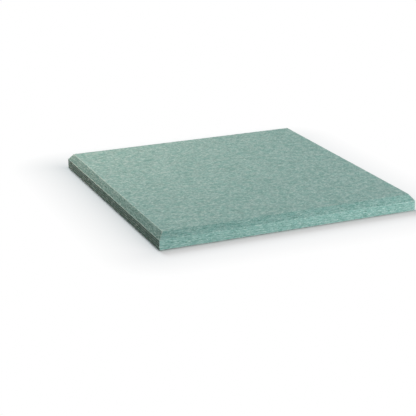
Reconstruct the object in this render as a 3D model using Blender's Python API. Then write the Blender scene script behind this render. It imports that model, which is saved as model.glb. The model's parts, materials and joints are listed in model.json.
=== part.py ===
"""Acoustic wall tile: one square board of pressed polyester felt.

The tile lies face up, as it is stored. Its back, which is glued to the wall, is on z = 0 with
the origin at its centre. X and Y run along the sides and +Z points out of the face. A bevel runs
round the face and meets itself in a mitre at each corner, so tiles laid side by side show a
V groove at each joint.

Run with: blender --background --python part.py
"""

import math

import bmesh
import bpy

MM = 0.001

# Driving dimensions of the tile
TILE_SIDE = 400 * MM
TILE_THICKNESS = 24 * MM

# The bevel, cut by a blade set a little steeper than 45 degrees
BEVEL_RUN = 7.5 * MM  # how far the cut reaches in from the side, across the face
BEVEL_DROP = 9.5 * MM  # how far the cut reaches down from the face

# Cut felt has no knife edge: the loose fibres round every arris over about this width
ARRIS_WIDTH = 0.8 * MM
ARRIS_SEGMENTS = 4
SHARPEST_FLAT_ANGLE = math.radians(30)  # faces that meet at more than this form an arris

# The finish: matt, with a soft sheen where the loose fibres catch the light
FELT_GREEN = (0.238, 0.413, 0.371, 1.0)
FELT_FINISH = {"Roughness": 0.95, "Metallic": 0.0, "Sheen Weight": 0.35}


def clear_scene():
    for existing in list(bpy.data.objects):
        bpy.data.objects.remove(existing, do_unlink=True)


def felt_material():
    """Matt, fibrous polyester felt in a soft sea green."""
    material = bpy.data.materials.new("green_felt")
    material.use_nodes = True
    shader = material.node_tree.nodes["Principled BSDF"]
    shader.inputs["Base Color"].default_value = FELT_GREEN
    for socket, value in FELT_FINISH.items():
        shader.inputs[socket].default_value = value
    return material


def square_outline(board, side):
    """The cut outline of the tile, as one face on the wall plane."""
    half = side / 2
    corners = [(-half, -half), (half, -half), (half, half), (-half, half)]
    return board.faces.new([board.verts.new((x, y, 0.0)) for x, y in corners])


def raise_sides(board, outline, height):
    """Pulls the outline up into upright sides and returns the face that closes them."""
    raised = bmesh.ops.extrude_face_region(board, geom=[outline])["geom"]
    corners = [part for part in raised if isinstance(part, bmesh.types.BMVert)]
    bmesh.ops.translate(board, vec=(0.0, 0.0, height), verts=corners)
    return next(part for part in raised if isinstance(part, bmesh.types.BMFace))


def cut_mitred_bevel(board, top, run, drop):
    """Insets the top and lifts it, which leaves four sloping faces that meet in mitres."""
    board.normal_update()
    bmesh.ops.inset_region(board, faces=[top], thickness=run, use_even_offset=True)
    bmesh.ops.translate(board, vec=(0.0, 0.0, drop), verts=top.verts)


def soften_arrises(tile, width):
    """Rounds every edge where two cut faces meet."""
    rounding = tile.modifiers.new("soft_arrises", "BEVEL")
    rounding.limit_method = "ANGLE"
    rounding.angle_limit = SHARPEST_FLAT_ANGLE
    rounding.width = width
    rounding.segments = ARRIS_SEGMENTS


def build_felt_tile():
    board = bmesh.new()
    outline = square_outline(board, TILE_SIDE)
    top = raise_sides(board, outline, TILE_THICKNESS - BEVEL_DROP)
    cut_mitred_bevel(board, top, BEVEL_RUN, BEVEL_DROP)
    bmesh.ops.recalc_face_normals(board, faces=board.faces)

    mesh = bpy.data.meshes.new("felt_tile")
    board.to_mesh(mesh)
    board.free()
    mesh.materials.append(felt_material())

    tile = bpy.data.objects.new("felt_tile", mesh)
    bpy.context.scene.collection.objects.link(tile)
    soften_arrises(tile, ARRIS_WIDTH)
    return tile


clear_scene()
build_felt_tile()
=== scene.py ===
# %% [markdown]
# # An acoustic wall tile of pressed polyester felt
# The tile is one square board. Polyester fibres in several shades of sea green and grey are
# carded into a thin web, the web is laid up in many layers, and needles and hot plates press the
# layers into a firm board. A blade then cuts the board square and cuts a bevel round its face.
# The solid model already has the right size, so it stays as the measure for all that follows.

# %% Load the solid board
import json
import math

import bpy
import numpy as np
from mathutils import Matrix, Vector, noise

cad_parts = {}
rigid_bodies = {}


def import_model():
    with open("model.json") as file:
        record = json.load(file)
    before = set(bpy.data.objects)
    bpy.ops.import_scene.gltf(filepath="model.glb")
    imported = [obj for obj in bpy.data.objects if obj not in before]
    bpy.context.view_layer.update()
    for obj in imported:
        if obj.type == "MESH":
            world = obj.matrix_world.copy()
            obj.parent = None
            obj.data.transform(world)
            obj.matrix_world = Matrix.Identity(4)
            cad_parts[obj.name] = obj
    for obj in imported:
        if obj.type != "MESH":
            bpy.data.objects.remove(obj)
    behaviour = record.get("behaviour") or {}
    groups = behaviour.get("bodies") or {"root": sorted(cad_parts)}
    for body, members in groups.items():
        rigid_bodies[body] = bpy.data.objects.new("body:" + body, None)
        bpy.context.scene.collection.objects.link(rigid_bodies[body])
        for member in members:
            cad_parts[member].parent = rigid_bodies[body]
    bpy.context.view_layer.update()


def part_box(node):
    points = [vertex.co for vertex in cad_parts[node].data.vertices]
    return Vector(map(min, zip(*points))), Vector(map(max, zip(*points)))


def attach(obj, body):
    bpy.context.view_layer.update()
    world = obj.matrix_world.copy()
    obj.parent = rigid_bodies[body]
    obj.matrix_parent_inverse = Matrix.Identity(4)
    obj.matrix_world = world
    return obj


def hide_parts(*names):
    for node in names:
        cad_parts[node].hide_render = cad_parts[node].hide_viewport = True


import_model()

MM = 0.001  # Blender counts in metres
solid_low, solid_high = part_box("felt_tile")
SIDE = solid_high.x - solid_low.x
HALF = SIDE / 2
THICKNESS = solid_high.z
print(f"The solid board is {SIDE / MM:.1f} mm square and {THICKNESS / MM:.1f} mm thick")

# %% [markdown]
# ## The camera
# The board lies face up on the floor and is seen from its front left corner, from nearly two
# metres away and 19.5 degrees above the floor. A long lens keeps the sides almost parallel.
# Pointing the camera from one place to another is easier to read than setting three angles.

# %% Place the camera
CAMERA_PLACE = (-0.7501, -1.6135, 0.5976)
CAMERA_AIM = (-0.0721, -0.0698, 0.0)  # the floor point in the middle of the picture
LENS = 105.6  # millimetres, on a sensor 36 mm wide


def turned_towards(place, aim):
    """The rotation of a lamp or camera at place that points at aim."""
    return (Vector(aim) - Vector(place)).to_track_quat("-Z", "Y").to_euler()


def put_in_scene(name, data):
    """Links new data to the scene as an object."""
    thing = bpy.data.objects.new(name, data)
    bpy.context.scene.collection.objects.link(thing)
    return thing


lens = bpy.data.cameras.new("camera")
lens.lens = LENS
camera = put_in_scene("camera", lens)
camera.location = CAMERA_PLACE
camera.rotation_euler = turned_towards(CAMERA_PLACE, CAMERA_AIM)
bpy.context.scene.camera = camera
bpy.context.scene.view_settings.view_transform = "Standard"
sight = Vector(CAMERA_AIM) - Vector(CAMERA_PLACE)
print(f"The camera is {sight.length:.2f} m from the floor point it aims at")

# %% [markdown]
# ## Helpers for colour and nodes
# Blender's colour sockets take linear numbers, while colours are easiest to read as sRGB hex
# values, so one function turns the one into the other. Materials are built from nodes. One small
# function adds a node, sets it and links it, and hands back its output for the next node to use.

# %% Colour and node helpers
WHITE = "FFFFFF"


def linear(hex_colour):
    """An sRGB hex value such as 86ACA4 as the linear colour that Blender's sockets take."""
    shades = [int(hex_colour[at:at + 2], 16) / 255 for at in (0, 2, 4)]
    return [s / 12.92 if s <= 0.04045 else ((s + 0.055) / 1.055) ** 2.4 for s in shades] + [1.0]


def add(tree, kind, inputs=(), output=None, **settings):
    """Adds one shader node and returns the output that is named, or else the first one in use.

    The inputs are values or other nodes' outputs. A list feeds the sockets in use from the top
    down, as Blender's node editor shows them, and a dict names its sockets.
    """
    node = tree.nodes.new("ShaderNode" + kind)
    for name, value in settings.items():
        setattr(node, name, value)
    if not isinstance(inputs, dict):
        inputs = dict(zip((place for place, socket in enumerate(node.inputs) if socket.enabled), inputs))
    for key, value in inputs.items():
        if isinstance(value, bpy.types.NodeSocket):
            tree.links.new(value, node.inputs[key])
        else:
            node.inputs[key].default_value = value
    if output:
        return node.outputs[output]
    return next((socket for socket in node.outputs if socket.enabled), None)


def combined(tree, operation, values):
    """Several values joined one after another by one operation, such as ADD or MAXIMUM."""
    result = values[0]
    for value in values[1:]:
        result = add(tree, "Math", [result, value], operation=operation)
    return result


def new_tree(owner):
    """Empties the node tree of a material or world and returns it."""
    owner.use_nodes = True
    owner.node_tree.nodes.clear()
    return owner.node_tree


print(f"Half of full sRGB brightness is {linear('808080')[0]:.2f} as a linear number")

# %% [markdown]
# ## Floor and world
# The picture needs a plain white floor that still keeps the soft shadow of the board. Matt paint
# gives that: it has no gloss, so it shows nothing but light and shade. A white floor would throw
# much light back at the sides of the board, though, and the left side has to stay in the shade. So
# the floor is white only for rays that reach the camera, straight or by way of a mirror or glass,
# and grey for the rays that carry light to the board. Beside the board a thin line of the floor
# keeps its full shade. From there on the paint turns into plain white light, fast at first and then
# slowly, so that no horizon shows.

# %% Mix the matt floor paint
FLOOR_GAP = 0.2 * MM  # keeps the floor clear of the back of the board
FLOOR_SEEN = "FDFDFD"
FLOOR_LIGHTING = "C8C8C8"
SHADOW_START = 1.5 * MM  # beyond the board, where the floor begins to turn white
SHADOW_REACH = 0.09  # metres beyond the board, where the floor has turned into plain white
SHADOW_HOLD = 0.3  # below 1 the white comes in fast beside the board


def seen_rays(tree):
    """One for camera, glossy and transmission rays, which show the background, or else zero."""
    kinds = ("Is Camera Ray", "Is Glossy Ray", "Is Transmission Ray")
    return combined(tree, "MAXIMUM", [add(tree, "LightPath", output=kind) for kind in kinds])


floor_paint = bpy.data.materials.new("matt_white_floor_paint")
tree = new_tree(floor_paint)
shown = seen_rays(tree)
place = add(tree, "TexCoord", output="Object")
mirrored = add(tree, "VectorMath", [place], operation="ABSOLUTE")  # all four quarters as one
passed = add(tree, "VectorMath", [mirrored, (HALF, HALF, FLOOR_GAP)], operation="SUBTRACT")
outside = add(tree, "VectorMath", [passed, (0.0, 0.0, 0.0)], operation="MAXIMUM")
distance = add(tree, "VectorMath", [outside], operation="LENGTH")
reached = add(tree, "MapRange", [distance, SHADOW_START, SHADOW_REACH])
whiteness = add(tree, "Math", [reached, SHADOW_HOLD], operation="POWER")
paint_tone = add(tree, "Mix", [shown, linear(FLOOR_LIGHTING), linear(FLOOR_SEEN)], data_type="RGBA")
paint = add(tree, "BsdfDiffuse", [paint_tone])
glow = add(tree, "Emission", [linear(WHITE)])
faded = add(tree, "MixShader", [combined(tree, "MULTIPLY", [whiteness, shown]), paint, glow])
add(tree, "OutputMaterial", [faded])
print(f"The floor is plain white from {SHADOW_REACH / MM:.0f} mm beyond the board")

# %% [markdown]
# Rays that miss the floor meet the world. It is white for the camera too, and for the board it is
# a dark grey that fills in the deepest shade from all round.

# %% Lay the floor and set the world
FLOOR_HALF = 3.0  # metres from the middle to the edge of the floor
FILL = "202020"

floor_mesh = bpy.data.meshes.new("floor")
corner_signs = ((-1, -1), (1, -1), (1, 1), (-1, 1))
floor_corners = [(x * FLOOR_HALF, y * FLOOR_HALF, -FLOOR_GAP) for x, y in corner_signs]
floor_mesh.from_pydata(floor_corners, [], [(0, 1, 2, 3)])
floor_mesh.materials.append(floor_paint)
floor = put_in_scene("floor", floor_mesh)

world = bpy.data.worlds.new("studio")
bpy.context.scene.world = world
tree = new_tree(world)
world_tone = add(tree, "Mix", [seen_rays(tree), linear(FILL), linear(WHITE)], data_type="RGBA")
add(tree, "OutputWorld", [add(tree, "Background", [world_tone])])
print(f"The floor is {2 * FLOOR_HALF:.0f} m wide")

# %% [markdown]
# ## Lamps
# Felt is matt, so its shading comes from soft light, and from painted shade on the cuts. One large
# lamp stands far behind the board and lights the face evenly. A small one hangs near the rear left
# corner, and the face and the left side are brightest there and fade from it. A wide, flat lamp
# stands low in front and lights the front edge. Light so low meets the upright cut head on and the
# bevel at a slant, so the bevel comes out darker than both its neighbours, and painted shade
# darkens it a little more. The large lamp is a little cool. The near one is warm, which takes some
# of the green out of the left side and the corner beside it.

# %% Place the lamps
BOARD_MIDDLE = (0.0, 0.0, THICKNESS / 2)
LAMPS = {  # name: place in metres, width and height in metres, power in watts, colour
    "far_lamp_behind": ((0.0, 8.4, 6.4), (4.0, 4.0), 950.0, "EFFBFF"),
    "near_lamp_at_corner": ((-0.42, 0.42, 0.5), (0.4, 0.4), 3.35, "FFCFC2"),
    "low_lamp_in_front": ((0.9, -1.72, 0.22), (1.6, 0.25), 44.0, "FFF2F5"),
}
for name, (spot, (width, height), power, colour) in LAMPS.items():
    light = bpy.data.lights.new(name, "AREA")
    light.shape = "RECTANGLE"
    light.size = width
    light.size_y = height
    light.energy = power
    light.color = linear(colour)[:3]
    lamp = put_in_scene(name, light)
    lamp.location = spot
    lamp.rotation_euler = turned_towards(spot, BOARD_MIDDLE)
print(f"{len(LAMPS)} lamps give {sum(lamp[2] for lamp in LAMPS.values()):.0f} watts")

# %% [markdown]
# The warm lamp would leave a pink patch on the white floor. A weaker tint would hide the patch and
# lose the warm corner. Light linking keeps both: a lamp can be given a collection of the objects
# that it lights, and an object can be in that collection as one that it leaves out.

# %% Keep the warm lamp off the floor
unlit = bpy.data.collections.new("not_lit_by_near_lamp")
unlit.objects.link(floor)
unlit.collection_objects[0].light_linking.link_state = "EXCLUDE"
bpy.data.objects["near_lamp_at_corner"].light_linking.receiver_collection = unlit

# %% [markdown]
# ## The shape of the board
# Seen from the side, the edge of the board is a short path: out along the face, down the bevel,
# down the upright cut and in under the board. An edge where two such faces meet is an arris. Felt
# can't hold a knife edge, so each arris is rounded. Blender's Bevel modifier could round a box, but
# then the faces would have no points to press into fine unevenness. So the board is knitted from a
# grid for the face, rings of points for the edge, and a second grid for the back.

# %% The profile of the edge
BEVEL_RUN = 7.5 * MM  # how far the bevel reaches in from the side
BEVEL_DROP = 9.5 * MM  # how far the bevel reaches down from the face
SHOULDER = THICKNESS - BEVEL_DROP  # the height at which the bevel meets the upright cut
ARRIS = 0.8 * MM  # how far the rounding reaches to each side of an arris
ARRIS_STEPS = 4
EDGE_STEP = 1.1 * MM  # from ring to ring down the cut edge
WELL_INSIDE = 20 * MM  # where the path begins and ends, on the flat face and on the flat back


def rounded_corner(before, corner, after):
    """Points on a curve that cuts the corner off, from ARRIS before it to ARRIS after it."""
    before, corner, after = (np.array(point) for point in (before, corner, after))
    start = corner + ARRIS * (before - corner) / np.linalg.norm(before - corner)
    end = corner + ARRIS * (after - corner) / np.linalg.norm(after - corner)
    ts = np.linspace(0, 1, ARRIS_STEPS + 1)[:, None]
    return (1 - ts) ** 2 * start + 2 * ts * (1 - ts) * corner + ts ** 2 * end


def edge_profile():
    """The path down the edge, as pairs of the distance in from the side and the height."""
    corners = [(WELL_INSIDE, THICKNESS), (BEVEL_RUN, THICKNESS), (0.0, SHOULDER),
               (0.0, 0.0), (WELL_INSIDE, 0.0)]
    path = rounded_corner(*corners[0:3])
    for first in (1, 2):
        bend = rounded_corner(*corners[first:first + 3])
        steps = round(np.linalg.norm(bend[0] - path[-1]) / EDGE_STEP)
        straight = np.linspace(path[-1], bend[0], steps + 1)[1:-1]
        path = np.vstack([path, straight, bend])
    return path


profile = edge_profile()
print(f"The edge has {len(profile)} rings of points, from {profile[0] / MM} to {profile[-1] / MM} mm")

# %% [markdown]
# Each ring is a square whose four corners are rounded too, because the mitres of the bevel and the
# upright corners of the board are cut arrises like the rest. Lines of points crowd together near
# the corners, and there a square ring is bent into an arc.

# %% Grids and rings
GRID_STEP = 2.2 * MM
FLAT_HALF = HALF - profile[0][0]  # from the middle of the face to where it starts to round off
STEPS_ACROSS = round(2 * (FLAT_HALF - ARRIS) / GRID_STEP)
CORNER_OFFSETS = np.linspace(0, ARRIS, ARRIS_STEPS + 1)[1:]


def line_places(half):
    """Where the grid lines cross a side that runs from -half to half."""
    even = np.linspace(-(half - ARRIS), half - ARRIS, STEPS_ACROSS + 1)
    return np.concatenate([even[0] - CORNER_OFFSETS[::-1], even, even[-1] + CORNER_OFFSETS])


def bend_corners(flat, half):
    """Moves the points in the corners of a square so that square shells there become arcs."""
    beyond = np.maximum(np.abs(flat) - (half - ARRIS), 0)
    reach = np.linalg.norm(beyond, axis=1)
    share = np.divide(beyond.max(axis=1), reach, out=np.ones_like(reach), where=reach > 0)
    return flat + np.sign(flat) * beyond * (share - 1)[:, None]


def grid_points(half, height):
    """A full square of points at one height, row by row."""
    across, along = np.meshgrid(line_places(half), line_places(half))
    flat = bend_corners(np.column_stack([across.ravel(), along.ravel()]), half)
    return np.column_stack([flat, np.full(len(flat), height)])


LINES = len(line_places(HALF))
grid = np.arange(LINES * LINES).reshape(LINES, LINES)  # the points of a square by their numbers
rim = np.concatenate([grid[0, :-1], grid[:-1, -1], grid[-1, :0:-1], grid[:0:-1, 0]])
print(f"{LINES} lines of points each way, {len(rim)} points round the rim")

# %% [markdown]
# Now the parts are joined, from the face down to the back. A face of the mesh names its points by
# number, and the numbers run on from part to part, so each part only needs to know where it starts.


# %% Knit the board
def quads_between(first, second):
    """Faces between two rings with the same number of points."""
    return np.column_stack([first, np.roll(first, -1), np.roll(second, -1), second])


def knit_board():
    """Points and faces of the closed board, before any unevenness."""
    squares = [grid_points(HALF - inset, height) for inset, height in profile]
    points = [squares[0]] + [square[rim] for square in squares[1:-1]] + [squares[-1]]
    starts = np.cumsum([0] + [len(part) for part in points])
    rings = [rim] + [start + np.arange(len(rim)) for start in starts[1:-2]] + [starts[-2] + rim]
    face = np.column_stack([grid[:-1, :-1].ravel(), grid[:-1, 1:].ravel(),
                            grid[1:, 1:].ravel(), grid[1:, :-1].ravel()])
    back = face[:, ::-1] + starts[-2]
    edge = [quads_between(lower, upper) for upper, lower in zip(rings, rings[1:])]
    return np.vstack(points), np.vstack([face, *edge, back])


def mesh_from(name, points, faces):
    """A smooth mesh from arrays of points and faces."""
    mesh = bpy.data.meshes.new(name)
    mesh.from_pydata(points.tolist(), [], faces.tolist())
    mesh.shade_smooth()
    return mesh


board_points, board_faces = knit_board()
board_mesh = mesh_from("felt_board", board_points, board_faces)
board = put_in_scene("felt_board", board_mesh)
print(f"The board has {2 * len(board_faces)} triangles")

# %% [markdown]
# ## Unevenness
# A pressed board isn't glass flat. Where the web was a little thicker it stands a few hundredths of
# a millimetre proud, in soft patches from 4 to 10 mm wide. On the cut edge the layers of the web
# stand out as low ridges that run along the edge, with a seam sunk between each two of them. Smooth
# noise moves each point along its normal. A Displace modifier could do that as well, but the loose
# fibres have to follow the same surface later, so one function gives its height anywhere.

# %% Press the unevenness into the board
PATCHES = ((9.0, 0.04), (4.5, 0.03))  # width and height of the soft patches, in millimetres
LAYER = 3.4  # millimetres, the thickness of one layer of the web in the pressed board
SEAM_HEIGHT = 12.8  # millimetres over the back, of the seam just below the bevel
SEAM_CHANGE = 40.0  # millimetres along the edge, over which a seam fades and returns
LAYER_RELIEF = 0.06  # millimetres
BACK_RECESS = 0.12 * MM  # the back is drawn in by this much, so that nothing reaches below it


def unevenness(point, cut):
    """How far the felt stands out, in metres; cut is 1 on an upright cut and 0 on a face."""
    place = Vector(point) / MM
    patches = sum(depth * noise.noise(place / width) for width, depth in PATCHES)
    seam = math.cos(2 * math.pi * (place.z - SEAM_HEIGHT) / LAYER)
    seam *= 1 + noise.noise(place / SEAM_CHANGE)
    return (patches - cut * LAYER_RELIEF * seam) * MM


def normals_of(mesh):
    """The normal at each point of a mesh, as an array."""
    found = np.zeros(3 * len(mesh.vertices), np.float32)
    mesh.vertex_normals.foreach_get("vector", found)
    return found.reshape(-1, 3)


board_normals = normals_of(board_mesh)
cutness = 1 - board_normals[:, 2] ** 2  # 0 on the face and the back, 1 on an upright cut
heights = np.array([unevenness(point, cut) for point, cut in zip(board_points, cutness)])
backward = np.maximum(-board_normals[:, 2], 0)
heights -= backward * BACK_RECESS
moved = board_points + heights[:, None] * board_normals
moved[:, 2] = np.maximum(moved[:, 2], 0)
board_mesh.vertices.foreach_set("co", moved.ravel())
board_mesh.update()
print(f"The felt stands {heights.max() / MM:.2f} mm out and {-heights.min() / MM:.2f} mm in at most")

# %% [markdown]
# ## Marks for the material
# The web was laid with most of its fibres along X. The left and right cuts go across them and tear
# them. The front and rear cuts run along them and stay calm. The material has to know which is
# which, so each point of the mesh keeps four numbers as attributes. "arris" says how strong a
# painted highlight is there: 0 on the flat faces, and most where the normal has turned well away
# from all of them. It stands for the light that fibres brushed up by the blade would catch, and it
# is stronger on a torn cut and where two cuts meet. "torn" says how open the cut is, and so how
# clearly its layers show. "contrast" is that of the bundles of fibres against the pressed face.
# "shade" is painted shade, below zero where a cut is made darker: on the torn cuts, for the light
# that sinks in between open ends, and on the bevels along X.

# %% Where the arrises get a painted highlight
FULL_TURN = math.radians(10)  # of the normal, where a point counts as fully on an arris
CALM_HIGHLIGHT = 0.2  # painted highlight of the upper arrises along X, as a share of those along Y
BACK_HIGHLIGHT = 0.4  # painted highlight of the lowest arris along X
CORNER_HIGHLIGHT = 0.6  # more painted highlight where two cuts meet
BEVEL_LENGTH = math.hypot(BEVEL_RUN, BEVEL_DROP)
BEVEL_NORMAL = (0.0, -BEVEL_DROP / BEVEL_LENGTH, BEVEL_RUN / BEVEL_LENGTH)  # of the front bevel
UPRIGHT_NORMAL = (0.0, -1.0, 0.0)
LEAST_LENGTH = 0.01  # keeps a division safe where a normal points straight up


def turned(vector, quarter):
    """A vector turned about Z by a number of right angles."""
    x, y, z = vector
    return [(x, y, z), (-y, x, z), (-x, -y, z), (y, -x, z)][quarter]


flat_normals = [(0, 0, 1), (0, 0, -1)]
for quarter in range(4):
    flat_normals += [turned(BEVEL_NORMAL, quarter), turned(UPRIGHT_NORMAL, quarter)]
alignment = (board_normals @ np.array(flat_normals).T).max(axis=1).clip(-1, 1)
arris_highlight = np.clip(np.arccos(alignment) / FULL_TURN, 0, 1)
level_length = np.linalg.norm(board_normals[:, :2], axis=1)
facing_x = np.abs(board_normals[:, 0]) / np.maximum(level_length, LEAST_LENGTH)
cornerness = 4 * facing_x ** 2 * (1 - facing_x ** 2)  # 1 halfway round from one side to the next
calm_highlight_share = np.where(board_points[:, 2] < 2 * ARRIS, BACK_HIGHLIGHT, CALM_HIGHLIGHT)
arris_highlight *= calm_highlight_share + (1 - calm_highlight_share) * facing_x + CORNER_HIGHLIGHT * cornerness * cutness
print(f"{int((arris_highlight > 0.5).sum())} points lie on an arris with a painted highlight")

# %% How torn each cut is, and how much painted shade it gets
CALM_TEARING = 0.3  # of the cuts along X, as a share of those along Y
CALM_CONTRAST = 1.15  # of the bundles on a cut along X, where 1 is the pressed face
TORN_CONTRAST = 2.4  # of the bundles on a cut along Y
END_PAINTED_SHADE = 0.28  # painted shade on a cut along Y, for the light that sinks in between the open ends of the fibres
BEVEL_PAINTED_SHADE = 0.08  # painted shade on a bevel along X, which darkens it beyond what the lamps do

torn_share = cutness * CALM_TEARING + cutness ** 4 * (1 - CALM_TEARING) * facing_x
cut_contrast = CALM_CONTRAST + (TORN_CONTRAST - CALM_CONTRAST) * facing_x
contrast = 1 + cutness * (cut_contrast - 1)
slant = 4 * board_normals[:, 2] ** 2 * cutness  # 1 on a slope of 45 degrees, 0 on level and upright
# painted shade: the torn cuts and the bevels along X are made darker in colour
painted_shade = END_PAINTED_SHADE * (contrast - 1) / (TORN_CONTRAST - 1) + BEVEL_PAINTED_SHADE * slant * (1 - facing_x)
marks = {"arris": arris_highlight, "torn": torn_share, "contrast": contrast, "shade": -painted_shade}
for name, values in marks.items():
    board_mesh.attributes.new(name, "FLOAT", "POINT").data.foreach_set("value", values)
print(f"The darkest cut loses {painted_shade.max():.2f} of its tone")

# %% [markdown]
# ## The felt
# Heather felt is a blend: grey-green fibres, more saturated sea-green ones, and some pale and dark
# ones. No fibre is seen by itself from two metres. What shows is a fine mottle, a few millimetres
# wide, where one shade happens to lie on top. A picture wrapped round the board would break at its
# arrises, while the real blend runs through it. So the colour is worked out at each place in space,
# from noise: stretched along one direction it makes fibres, and several such noises turned about Z
# make a web that lies every way in its own plane. On a cut they show as dashes along the layers.

# %% Colours and sizes of the felt
SEA_GREEN = "73AAA0"  # the saturated fibres of the blend
GREY_GREEN = "8BB4AC"  # the greyish fibres of the blend
PALE_FIBRE = "C2E0D6"
DARK_FIBRE = "376F61"
DEEP_PAINTED_SHADE = "184B39"  # painted shade, deep between the torn ends on a cut
MOTTLE = (8.0 * MM, 8.0 * MM, 1.3 * MM)  # a clump of one shade, pressed flat
TUFT = (6.2 * MM, 2.6 * MM, 0.75 * MM)  # length, width and height of a small bundle of fibres
FIBRE = (8.0 * MM, 0.4 * MM, 0.35 * MM)  # coarser than a real one, 0.03 mm thick, so that it shows
DASH = (12.0 * MM, 8.0 * MM, 0.65 * MM)  # a flat bundle, longest along X, as the web was laid
WANDER = (4.0 * MM, 4.0 * MM, 0.8 * MM)  # how far a fibre strays, hardly out of its own layer
WANDER_WIDTH = 8.0 * MM  # from one bend of a fibre to the next
SOFT_DETAIL = 1.0  # one octave of finer noise on top, for all patterns


def stretched_noise(tree, place, size, seed, angle=0.0):
    """Noise stretched to a size in X, Y and Z, turned about Z, and shifted by a seed."""
    turn = add(tree, "VectorRotate", {"Vector": place, "Angle": angle}, rotation_type="Z_AXIS")
    scaled = add(tree, "VectorMath", [turn, [1 / part for part in size]], operation="MULTIPLY")
    shifted = add(tree, "VectorMath", [scaled, (seed * 7.3, seed * 3.1, seed * 5.7)])
    return add(tree, "TexNoise", {"Vector": shifted, "Scale": 1.0, "Detail": SOFT_DETAIL}, output="Fac")


def strayed_from(tree, place):
    """A place pushed about by a slow noise, so that no fibre is straight."""
    slow = add(tree, "TexNoise", {"Vector": place, "Scale": 1 / WANDER_WIDTH, "Detail": SOFT_DETAIL},
               output="Color")
    centred = add(tree, "VectorMath", [slow, (0.5, 0.5, 0.5)], operation="SUBTRACT")
    return add(tree, "VectorMath", [centred, WANDER, place], operation="MULTIPLY_ADD")


print(f"A bundle is {TUFT[0] / MM:.1f} mm long and a clump of one shade {MOTTLE[0] / MM:.0f} mm wide")

# %% [markdown]
# Fibres in five directions cross each other. The highest value wins, as the uppermost fibre does,
# which keeps single fibres crisp where a sum would blur them. The lowest value gives the dark gaps
# between them. Bundles are wider and softer, so those are summed. The seams between the layers are
# a wave up the board, and a slow noise bends them a little. Each pattern has a seed of its own, so
# that no two are alike.

# %% Patterns in the felt
DIRECTIONS = 5
FIBRE_TWIST = 0.2  # radians, so that no direction lies along a side
TUFT_ANGLES = (0.0, 1.1, 2.2)  # radians
HIGHLIGHT_PATCH = 3.0 * MM  # along an arris, from one spot of stronger painted highlight to the next
SEAM_WOBBLE = 0.6  # radians of the wave up the board, by which a seam strays to each side

felt = bpy.data.materials.new("pressed_polyester_felt")
tree = new_tree(felt)
place = add(tree, "TexCoord", output="Object")
strayed = strayed_from(tree, place)
fibres = [stretched_noise(tree, strayed, FIBRE, number, math.pi * number / DIRECTIONS + FIBRE_TWIST)
          for number in range(DIRECTIONS)]
tufts = [stretched_noise(tree, strayed, TUFT, 9 + number, angle)
         for number, angle in enumerate(TUFT_ANGLES)]
upper = combined(tree, "MAXIMUM", fibres)
lower = combined(tree, "MINIMUM", fibres)
bundle = combined(tree, "ADD", tufts)
dash = stretched_noise(tree, strayed, DASH, 20)
# spots along each arris where its painted highlight is stronger
highlight_spots = stretched_noise(tree, place, (HIGHLIGHT_PATCH,) * 3, 40)
mottle = stretched_noise(tree, place, MOTTLE, 50)

level = add(tree, "SeparateXYZ", [place], output="Z")
wave = [level, 2 * math.pi / (LAYER * MM), -2 * math.pi * SEAM_HEIGHT / LAYER]
turns = add(tree, "Math", wave, operation="MULTIPLY_ADD")
slow = stretched_noise(tree, place, (SEAM_CHANGE * MM,) * 3, 30)
wobble = add(tree, "MapRange", [slow, 0.3, 0.7, -SEAM_WOBBLE, SEAM_WOBBLE])
seam = add(tree, "Math", [combined(tree, "ADD", [turns, wobble])], operation="COSINE")
print(f"{len(tree.nodes)} nodes make the patterns")

# %% [markdown]
# All patterns end up in one tone around zero. Map Range does that: it takes a value, the range that
# the value comes in, and the range that it leaves in. A noise stays mostly between 0.3 and 0.7, and
# the sum of the three bundles between 1.2 and 1.8. Of the fibres only the peaks count, from 0.62 up
# and from 0.38 down. The dashes show on every cut. The seams open only where a cut is torn wide, so
# they are multiplied by "torn" twice.

# %% From patterns to one tone
TUFT_TONE = 0.34  # at 1 only the pale fibre shows, and at -1 only the dark one
FIBRE_TONE = 0.26
DARK_DASH_TONE = -1.2
PALE_DASH_TONE = 1.1
# dark seams between the layers, partly painted shade: the seam just below the bevel stands in for the
# shade under the arris
SEAM_AND_SHADE_TONE = -2.1
CALM_HIGHLIGHT_TONE = 0.34  # painted highlight between the brighter spots of an arris
# painted highlight in the brighter spots of an arris
SPOT_HIGHLIGHT_TONE = 1.7

torn, marked_contrast, arris, shade = (
    add(tree, "Attribute", output="Fac", attribute_name=name)
    for name in ("torn", "contrast", "arris", "shade"))
web_tone = combined(tree, "ADD", [
    add(tree, "MapRange", [bundle, 1.2, 1.8, -TUFT_TONE, TUFT_TONE]),
    add(tree, "MapRange", [upper, 0.62, 0.74, 0.0, FIBRE_TONE]),
    add(tree, "MapRange", [lower, 0.38, 0.26, 0.0, -FIBRE_TONE]),
])
dash_tone = add(tree, "MapRange", [dash, 0.3, 0.7, DARK_DASH_TONE, PALE_DASH_TONE])
seam_and_shade_tone = add(tree, "MapRange", [seam, 0.2, 1.0, 0.0, SEAM_AND_SHADE_TONE])
highlight_tone = add(tree, "MapRange", [highlight_spots, 0.4, 0.7, CALM_HIGHLIGHT_TONE, SPOT_HIGHLIGHT_TONE])
tone = combined(tree, "ADD", [
    combined(tree, "MULTIPLY", [web_tone, marked_contrast]),
    combined(tree, "MULTIPLY", [dash_tone, torn]),
    combined(tree, "MULTIPLY", [seam_and_shade_tone, torn, torn]),
    # painted highlight along the arrises
    combined(tree, "MULTIPLY", [highlight_tone, arris]),
    # painted shade on the cuts
    shade,
])
print(f"{len(tree.nodes)} nodes make the tone")

# %% [markdown]
# The mottle decides between the two greens. Where the tone is above zero the pale fibre is mixed
# in, below zero the dark one, and below minus one the painted shade of the deep gaps.


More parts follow.
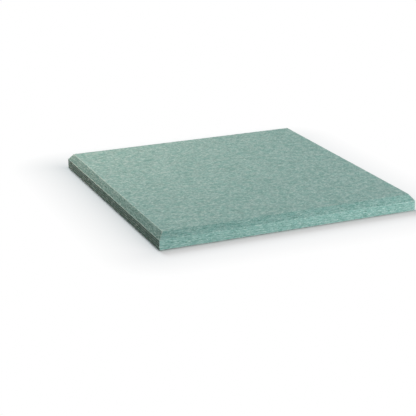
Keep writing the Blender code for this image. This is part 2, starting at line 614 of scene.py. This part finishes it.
# %% From tone to colour
def blended(tree, value, start, full, first, second):
    """The first colour, into which the second comes as a value goes from start to full."""
    share = add(tree, "MapRange", [value, start, full])
    return add(tree, "Mix", [share, first, second], data_type="RGBA")


colour = blended(tree, mottle, 0.32, 0.68, linear(SEA_GREEN), linear(GREY_GREEN))
colour = blended(tree, tone, 0.0, 1.0, colour, linear(PALE_FIBRE))
colour = blended(tree, tone, 0.0, -1.0, colour, linear(DARK_FIBRE))
colour = blended(tree, tone, -1.0, -2.0, colour, linear(DEEP_PAINTED_SHADE))
print(f"{len(tree.nodes)} nodes make the colour")

# %% [markdown]
# The press leaves the face nearly smooth, and the blade tears the cuts rougher. Felt is matt: a
# low specular level takes the gloss away. Light that grazes it still catches on the fibre ends,
# and a little sheen gives that soft rim.

# %% Relief and finish of the felt
FACE_ROUGHNESS = 0.12 * MM  # height of the relief in the pressed face
CUT_ROUGHNESS = 0.5 * MM  # height of the relief on a torn cut
MATT_FINISH = {"Specular IOR Level": 0.2, "Sheen Weight": 0.2, "Sheen Roughness": 0.5}
FELT_IOR = 1.5  # polyester has 1.58, but the pressed board is part air

depth = add(tree, "MapRange", [torn, 0.0, 1.0, FACE_ROUGHNESS, CUT_ROUGHNESS])
relief = combined(tree, "MULTIPLY", [combined(tree, "ADD", [upper, lower, dash]), depth])
bump = add(tree, "Bump", {"Height": relief, "Distance": 1.0, "Strength": 1.0})  # in metres
roughness = add(tree, "MapRange", [upper, 0.55, 0.8, 0.9, 1.0])
felt_finish = {"Base Color": colour, "Roughness": roughness, "Normal": bump, "IOR": FELT_IOR}
add(tree, "OutputMaterial", [add(tree, "BsdfPrincipled", {**felt_finish, **MATT_FINISH})])
board_mesh.materials.append(felt)

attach(board, "root")
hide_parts("felt_tile")
print(f"The felt has {len(tree.nodes)} nodes")

# %% [markdown]
# ## Loose fibres
# However hard felt is pressed, single fibres lie loose on it. On the face they lie flat and curl
# a little, on the cuts they are short, and along each arris the blade has brushed them up. They
# could be hair particles, but hair doesn't travel to other programs as a mesh. So each fibre is a
# thin closed spindle with three sides, and thousands of them are made at once as arrays. A real
# fibre is some 0.03 mm thick. These are drawn from three to seven times as thick and far fewer, so
# that they show. Each fibre gets its own cell of a texture map, unrolled flat, so that other
# programs can store the colours of thousands of fibres in one picture.

# %% Turn centre lines into fibres
RING_ANGLES = [math.pi / 2 + number * 2 * math.pi / 3 for number in range(3)]
CELL_MARGIN = 0.1  # of a cell of the texture map, left free on each side


def spindle_faces(count):
    """The triangles of a spindle with count points along it, and where each of their corners lies.

    The first and last points are the tips, and the rest are rings of three. A corner's place is
    how far along the spindle and how far round it the corner is, from 0 to 1.
    """
    rings = [[(0, 0, side) for side in range(4)]]
    for ring in range(1, count - 1):
        rings.append([(3 * ring - 2 + side % 3, ring, side) for side in range(4)])
    rings.append([(3 * count - 5, count - 1, side) for side in range(4)])
    corners = []
    for lower, upper in zip(rings, rings[1:]):
        for side in range(3):
            corners.append((lower[side], upper[side], upper[side + 1]))
            corners.append((lower[side], upper[side + 1], lower[side + 1]))
    corners = np.array([three for three in corners if len({point for point, _, _ in three}) == 3])
    return corners[..., 0], corners[..., 1:] / (count - 1, 3)


def unit(vectors):
    """Vectors scaled to length one."""
    return vectors / np.linalg.norm(vectors, axis=-1, keepdims=True)


def fibre_mesh(name, lines, outward, radii, tones):
    """One mesh of fibres along lines, an array of fibres by points by three numbers."""
    fibre_count, point_count, _ = lines.shape
    along = unit(np.gradient(lines, axis=1))
    side = unit(np.cross(along, outward))
    above = np.cross(side, along)
    spokes = [math.cos(angle) * side + math.sin(angle) * above for angle in RING_ANGLES]
    rings = np.stack([lines + radii[:, None, None] * spoke for spoke in spokes], axis=2)[:, 1:-1]
    points = np.concatenate([lines[:, :1], rings.reshape(fibre_count, -1, 3), lines[:, -1:]], axis=1)
    each = points.shape[1]
    triangles, unrolled = spindle_faces(point_count)
    faces = triangles + each * np.arange(fibre_count)[:, None, None]
    mesh = mesh_from(name, points.reshape(-1, 3), faces.reshape(-1, 3))
    mesh.attributes.new("tone", "FLOAT", "POINT").data.foreach_set("value", np.repeat(tones, each))
    columns = math.ceil(math.sqrt(fibre_count))
    cells = np.column_stack(np.divmod(np.arange(fibre_count), columns))
    spread = (cells[:, None, None] + CELL_MARGIN + (1 - 2 * CELL_MARGIN) * unrolled) / columns
    mesh.uv_layers.new(name="OFBake").data.foreach_set("uv", spread.ravel())
    return mesh


print(f"A fibre with 5 points along it has {len(spindle_faces(5)[0])} triangles")

# %% [markdown]
# A fibre first wanders over a flat sheet, then it is laid on the face, the bevel or the upright
# cut, and follows the unevenness there. Its ends are buried, and its middle stands a little proud.
# One in twenty has come free at one end. The random numbers start from a fixed seed, so each run
# gives the same fibres.

# %% Lay lines on the board
BEND = 0.35  # radians by which a fibre turns from point to point, at random
LEAST_ARCH = 0.2  # of the full height to which fibres stand proud
FREE_SHARE = 0.05  # of the fibres, which have come free at one end
FREE_RISE = (0.1, 0.4)  # millimetres by which a free end stands up
draw = np.random.default_rng(24)


def wandering_lines(starts, headings, lengths, point_count):
    """Flat lines that set out from each start and wander, as fibres by points by two numbers."""
    turns = draw.normal(0, BEND, (len(starts), point_count - 1)).cumsum(axis=1)
    angles = headings[:, None] + turns
    steps = np.stack([np.cos(angles), np.sin(angles)], axis=2)
    steps = steps * (lengths / (point_count - 1))[:, None, None]
    return np.concatenate([starts[:, None], starts[:, None] + steps.cumsum(axis=1)], axis=1)


def folded_back(places, limit):
    """Numbers beyond plus or minus the limit, mirrored back inside."""
    return np.sign(places) * (limit - np.abs(limit - np.abs(places)))


def lifts(radii, point_count, proud):
    """How high each point of each line lies over the felt, with buried ends and a few free ones."""
    ts = np.linspace(0, 1, point_count)
    arch = np.sin(math.pi * ts) ** 0.5
    heights = arch * draw.uniform(LEAST_ARCH, 1.0, (len(radii), 1)) * proud
    heights = heights + radii[:, None] * (arch - 1)
    free = draw.random(len(radii)) < FREE_SHARE
    heights[free] += ts ** 2 * draw.uniform(*FREE_RISE, (free.sum(), 1)) * MM
    return heights


def laid(flat, lift, origin, across, up, outward, cut):
    """Flat lines laid on a plane of the board, with the unevenness of the felt added."""
    plain = np.array(origin) + flat[..., :1] * np.array(across) + flat[..., 1:] * np.array(up)
    rise = np.array([unevenness(point, cut) for point in plain.reshape(-1, 3)]).reshape(lift.shape)
    return plain + (rise + lift)[..., None] * np.array(outward)


print(f"One fibre in {1 / FREE_SHARE:.0f} has a free end")

# %% [markdown]
# A loose fibre is spun polyester, smoother than the felt that it lies on, and it has one shade
# from end to end. It takes the mottle of the felt below it as well, so that it doesn't look strewn
# on. The fibres get the same colours as the blend, from dark to pale.

# %% The material of the loose fibres
FIBRE_IOR = 1.58  # polyester

loose = bpy.data.materials.new("loose_polyester_fibre")
tree = new_tree(loose)
own_tone = add(tree, "Attribute", output="Fac", attribute_name="tone")
patch = stretched_noise(tree, add(tree, "TexCoord", output="Object"), MOTTLE, 50)
patch_tone = add(tree, "MapRange", [patch, 0.3, 0.7, -0.15, 0.15])
tone = combined(tree, "ADD", [own_tone, patch_tone])
colour = blended(tree, tone, 0.0, 0.4, linear(DARK_FIBRE), linear(SEA_GREEN))
colour = blended(tree, tone, 0.4, 0.7, colour, linear(GREY_GREEN))
colour = blended(tree, tone, 0.7, 1.0, colour, linear(PALE_FIBRE))
roughness = add(tree, "MapRange", [patch, 0.3, 0.7, 0.7, 0.85])
fibre_finish = {"Base Color": colour, "Roughness": roughness, "IOR": FIBRE_IOR}
add(tree, "OutputMaterial", [add(tree, "BsdfPrincipled", {**fibre_finish, **MATT_FINISH})])


def place_fibres(name, lines, outward, radii, tones):
    """Makes one piece of loose fibres that belongs to the board."""
    mesh = fibre_mesh(name, lines, outward, radii, tones)
    mesh.materials.append(loose)
    piece = put_in_scene(name, mesh)
    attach(piece, "root")
    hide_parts("felt_tile")
    print(f"{name}: {len(lines)} fibres, {len(mesh.polygons)} triangles")


print(f"The loose fibres have {len(tree.nodes)} nodes")

# %% [markdown]
# On the face and the back the fibres lie every way. Those on the back are pressed flat against the
# plane that is glued to the wall, so they have no arch.

# %% Fibres on the face and the back
FACE_FIBRES = 7500
FACE_POINTS = 6  # along each fibre
FACE_LENGTHS = (7 * MM, 20 * MM)  # the shortest and the longest
FACE_ARCH = 0.02 * MM  # how proud the middle of a fibre stands at most
BACK_FIBRES = 4000
BACK_POINTS = 5
BACK_LENGTHS = (7 * MM, 18 * MM)
BACK_CLEARANCE = 1.05  # of its radius, so that a fibre on the back stays just above the floor
FLAT_RADII = (0.05, 0.09)  # millimetres
FLAT_TONES = (0.65, 0.25)  # mean and spread, where 0 is the dark fibre and 1 the pale one
X, Y, Z = (1.0, 0.0, 0.0), (0.0, 1.0, 0.0), (0.0, 0.0, 1.0)


def flat_fibres(count, point_count, length_range, limit):
    """Random lines all over a square, with their radii and tones."""
    starts = draw.uniform(-limit, limit, (count, 2))
    lengths = draw.uniform(*length_range, count)
    headings = draw.uniform(0, 2 * math.pi, count)
    lines = wandering_lines(starts, headings, lengths, point_count)
    radii = draw.uniform(*FLAT_RADII, count) * MM
    return folded_back(lines, limit), radii, draw.normal(*FLAT_TONES, count)


flat, radii, tones = flat_fibres(FACE_FIBRES, FACE_POINTS, FACE_LENGTHS, FLAT_HALF)
lift = lifts(radii, FACE_POINTS, FACE_ARCH)
lines = laid(flat, lift, (0, 0, THICKNESS), X, Y, Z, 0)
place_fibres("face_fibres", lines, np.array(Z), radii, tones)

flat, radii, tones = flat_fibres(BACK_FIBRES, BACK_POINTS, BACK_LENGTHS, HALF - ARRIS)
lift = np.tile(radii[:, None] * BACK_CLEARANCE, (1, BACK_POINTS))
lines = np.concatenate([flat, lift[..., None]], axis=2)
place_fibres("back_fibres", lines, -np.array(Z), radii, tones)

# %% [markdown]
# On the front and rear cuts the blade ran along most of the fibres, so they lie there nearly level.
# On the left and right cuts it went across them, and only short ends are left, every way round.
# Those ends are given a darker tone, a painted shade for the shade that they stand in. Each side of
# the board gets its own fibres, on the bevel and on the upright cut.

# %% Fibres on the cuts
CUT_FIBRES = 1120  # on each bevel and on each upright cut
CUT_POINTS = 5
CUT_RADII = (0.06, 0.11)  # millimetres
CUT_ARCH = 0.05 * MM
CUT_MARGIN = 0.02  # of the height of a cut, where no fibre starts
LONG_FIBRES = (2 * MM, 8 * MM, 0.18, 0.55, 0.4)  # shortest, longest, tilt, tone and its spread
# the low mean tone of the short ends, 0.22, is painted shade
SHORT_ENDS = (1 * MM, 3 * MM, 1.5, 0.22, 0.2)
UP_BEVEL = (0.0, BEVEL_RUN / BEVEL_LENGTH, BEVEL_DROP / BEVEL_LENGTH)
FRONT_STRIPS = (  # origin, the way up, outward, height, and half the width at the top
    ((0, -HALF, 0), Z, UPRIGHT_NORMAL, SHOULDER, HALF),
    ((0, -HALF, SHOULDER), UP_BEVEL, BEVEL_NORMAL, BEVEL_LENGTH, HALF - BEVEL_RUN),
)


def cut_fibres(height, top_half, shortest, longest, tilt):
    """Lines on a strip of the edge, from its lower to its upper border."""
    ups = draw.uniform(CUT_MARGIN, 1 - CUT_MARGIN, CUT_FIBRES) * height
    halves = HALF + (top_half - HALF) * ups / height
    starts = np.column_stack([draw.uniform(-1, 1, CUT_FIBRES) * halves, ups])
    headings = draw.normal(0, tilt, CUT_FIBRES)
    lengths = draw.uniform(shortest, longest, CUT_FIBRES)
    lines = wandering_lines(starts, headings, lengths, CUT_POINTS)
    lines[..., 0] = folded_back(lines[..., 0], halves[:, None])
    lines[..., 1] = folded_back(lines[..., 1] - height / 2, height / 2) + height / 2
    return lines


def joined(parts):
    """Tuples of arrays, joined into one tuple of longer arrays."""
    return (np.concatenate(arrays) for arrays in zip(*parts))


strips = []
for quarter in range(4):
    *kind, mean_tone, tone_spread = SHORT_ENDS if quarter % 2 else LONG_FIBRES
    for origin, up, outward, height, top_half in FRONT_STRIPS:
        flat = cut_fibres(height, top_half, *kind)
        radii = draw.uniform(*CUT_RADII, CUT_FIBRES) * MM
        lift = lifts(radii, CUT_POINTS, CUT_ARCH)
        axes = [turned(vector, quarter) for vector in (origin, X, up, outward)]
        cut = np.linalg.norm(outward[:2]) ** 2  # 1 on an upright cut, and less on a bevel
        lines = laid(flat, lift, *axes, cut)
        lines[..., 2] = np.maximum(lines[..., 2], radii[:, None])
        tones = draw.normal(mean_tone, tone_spread, CUT_FIBRES)
        strips.append((lines, np.tile(axes[-1], (CUT_FIBRES, 1)), radii, tones))
lines, outward, radii, tones = joined(strips)
place_fibres("cut_fibres", lines, outward[:, None], radii, tones)

# %% [markdown]
# Along the arrises short fibres arch over the corner. Their pale tone is a painted highlight, for
# the light that they catch there. Each one starts at a random place on the arris, crosses it at a
# random slant and drops away on both sides with the faces.

# %% Fibres along the arrises
FIBRES_PER_METRE = 1750
ARRIS_POINTS = 4
ARRIS_LENGTHS = (1.2 * MM, 3.2 * MM)
ARRIS_RADII = (0.07, 0.11)  # millimetres
ARRIS_HIGHLIGHT_TONES = (0.8, 0.2)  # mean and spread, pale as a painted highlight
ARRIS_ARCHES = (0.05, 0.3)  # millimetres by which their middles stand proud
STEEPEST_SLANT = 1.2  # radians from the line of the arris
OVER_ARRIS = 0.25 * MM  # the rounding lies this much below the sharp corner
INNER = HALF - BEVEL_RUN
FRONT_ARRISES = (  # start, end, the way out between the faces, and how steeply they fall from it
    ((-INNER, -INNER, THICKNESS), (INNER, -INNER, THICKNESS), (0, -0.44, 0.90), 0.48),
    ((-HALF, -HALF, SHOULDER), (HALF, -HALF, SHOULDER), (0, -0.94, 0.33), 0.35),
    ((-HALF, -HALF, SHOULDER), (-INNER, -INNER, THICKNESS), (-0.6, -0.6, 0.53), 0.6),
    ((-HALF, -HALF, 1 * MM), (-HALF, -HALF, SHOULDER), (-0.71, -0.71, 0), 1.0),
    ((-HALF, -HALF, 0.0), (HALF, -HALF, 0.0), (0, -0.71, -0.71), 1.0),
)


def arris_lines(start, end, outward, fall):
    """Lines that arch over an arris; fall is how steeply the faces drop away from it."""
    start, end = np.array(start), np.array(end)
    count = round(FIBRES_PER_METRE * np.linalg.norm(end - start))
    ridge = unit(end - start)
    over = np.cross(outward, ridge)
    middles = start + draw.random((count, 1)) * (end - start)
    slants = draw.uniform(-STEEPEST_SLANT, STEEPEST_SLANT, count)
    lengths = draw.uniform(*ARRIS_LENGTHS, count)
    ways = np.cos(slants)[:, None] * ridge + np.sin(slants)[:, None] * over
    ts = np.linspace(-0.5, 0.5, ARRIS_POINTS) * lengths[:, None]
    drops = np.abs(ts * np.sin(slants)[:, None]) * fall + OVER_ARRIS
    rises = draw.uniform(*ARRIS_ARCHES, (count, 1)) * MM * (1 - (2 * ts / lengths[:, None]) ** 2)
    return middles[:, None] + ts[..., None] * ways[:, None] + (rises - drops)[..., None] * outward


arches = []
for quarter in range(4):
    for start, end, outward, fall in FRONT_ARRISES:
        outward = unit(np.array(turned(outward, quarter)))
        lines = arris_lines(turned(start, quarter), turned(end, quarter), outward, fall)
        radii = draw.uniform(*ARRIS_RADII, len(lines)) * MM
        lines[..., 2] = np.maximum(lines[..., 2], radii[:, None])
        tones = draw.normal(*ARRIS_HIGHLIGHT_TONES, len(lines))
        arches.append((lines, np.tile(outward, (len(lines), 1)), radii, tones))
lines, outward, radii, tones = joined(arches)
place_fibres("arris_fibres", lines, outward[:, None], radii, tones)

# %% [markdown]
# ## Write down the sizes
# The looks must not change the size of the part, so the width of the solid and the greatest width
# of the loose fibres are printed side by side.

# %% Write the sizes and finish
widths = [thing.dimensions.x for thing in bpy.data.objects if thing.name.endswith("_fibres")]
print(f"The solid board is {SIDE / MM:.1f} mm wide, and its loose fibres {max(widths) / MM:.1f} mm")
